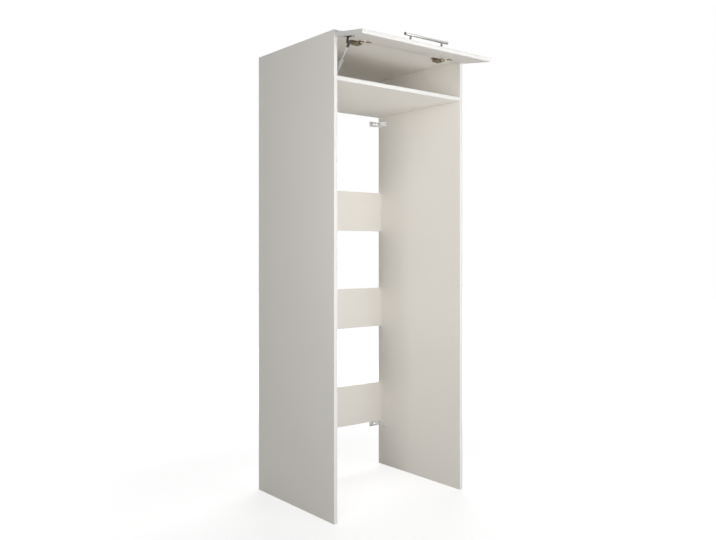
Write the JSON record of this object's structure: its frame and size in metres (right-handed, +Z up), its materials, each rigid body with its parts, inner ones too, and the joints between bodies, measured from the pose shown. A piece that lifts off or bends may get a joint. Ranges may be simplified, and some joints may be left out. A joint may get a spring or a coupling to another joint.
{
  "type": "washing machine cabinet",
  "caption": "Tall open-backed surround for stacked laundry machines, with a closed top compartment behind a lift-up flap held by cup hinges and a gas strut.",
  "frame": {"origin": "on the floor under the middle of the whole part with its flap open, so 194 mm behind the carcass front", "axes": "+Z up, +Y to the wall, -Y to the front where the machines go in, +X to the right seen from the front"},
  "size_m": [0.7, 0.7318, 1.9001],
  "materials": {
    "white_melamine": "matt white melamine facing on chipboard",
    "white_hardboard": "thin hardboard, lacquered white on its face",
    "white_edging": "smooth white plastic edging",
    "zinc_plated_steel": "zinc plated",
    "zinc_casting": "raw zinc casting",
    "white_plastic": "satin white",
    "beech": "bare beech",
    "nickel_plated_steel": "nickel plated, dark reflections",
    "satin_steel": "fine satin grain round the bar",
    "dark_steel": "dark nickel",
    "white_lacquered_steel": "white lacquered screw heads",
    "grey_painted_steel": "light grey paint",
    "chromed_rod": "polished",
    "black_plastic": "moulded"
  },
  "bodies": {
    "root": {"back_panel": "white_hardboard", "bracket_screws": "zinc_plated_steel", "cam_caps": "white_plastic", "cam_fittings": "zinc_casting", "connecting_bolts": "zinc_plated_steel", "hinge_adjusting_screws": "nickel_plated_steel", "hinge_arm_left": "nickel_plated_steel", "hinge_arm_right": "nickel_plated_steel", "hinge_plate_left": "nickel_plated_steel", "hinge_plate_right": "nickel_plated_steel", "hinge_plate_screws": "nickel_plated_steel", "left_side_edge_band": "white_edging", "left_side_panel": "white_melamine", "rail_lower": "white_melamine", "rail_middle": "white_melamine", "rail_upper": "white_melamine", "right_side_edge_band": "white_edging", "right_side_panel": "white_melamine", "shelf_edge_band": "white_edging", "shelf_panel": "white_melamine", "strut_side_bracket": "dark_steel", "strut_side_screws": "zinc_plated_steel", "top_edge_band": "white_edging", "top_panel": "white_melamine", "wall_bracket_lower_left": "zinc_plated_steel", "wall_bracket_lower_right": "zinc_plated_steel", "wall_bracket_upper_left": "zinc_plated_steel", "wall_bracket_upper_right": "zinc_plated_steel", "wood_dowels": "beech"},
    "flap": {"flap_panel": "white_melamine", "flap_edge_band": "white_edging", "hinge_cup_left": "nickel_plated_steel", "hinge_cup_right": "nickel_plated_steel", "hinge_pins": "nickel_plated_steel", "hinge_cup_screws": "nickel_plated_steel", "handle_bar": "satin_steel", "handle_end_caps": "dark_steel", "handle_posts": "dark_steel", "handle_screws": "white_lacquered_steel", "strut_flap_bracket": "dark_steel", "strut_flap_screws": "zinc_plated_steel"},
    "strut_cylinder": {"strut_cylinder": "grey_painted_steel", "strut_lower_socket": "black_plastic"},
    "strut_rod": {"strut_rod": "chromed_rod", "strut_upper_socket": "black_plastic"}
  },
  "joints": [
    {"name": "flap_hinge", "type": "hinge", "parent": "root", "child": "flap", "pos_m": [0, -0.2069, 1.881], "axis": [-1, 0, 0], "range_deg": [-82, 0]},
    {"name": "strut_pivot", "type": "hinge", "parent": "root", "child": "strut_cylinder", "pos_m": [-0.32, -0.1601, 1.734], "axis": [1, 0, 0], "range_deg": [-31.4, 0]},
    {"name": "strut_slide", "type": "slide", "parent": "strut_cylinder", "child": "strut_rod", "axis": [0, -0.6447, 0.7644], "range_m": [-0.0437, 0]}
  ],
  "couplings": [
    {"joint": "strut_pivot", "follows": "flap_hinge", "ratio": 0.3827},
    {"joint": "strut_slide", "follows": "flap_hinge", "m_per_rad": 0.030473}
  ]
}
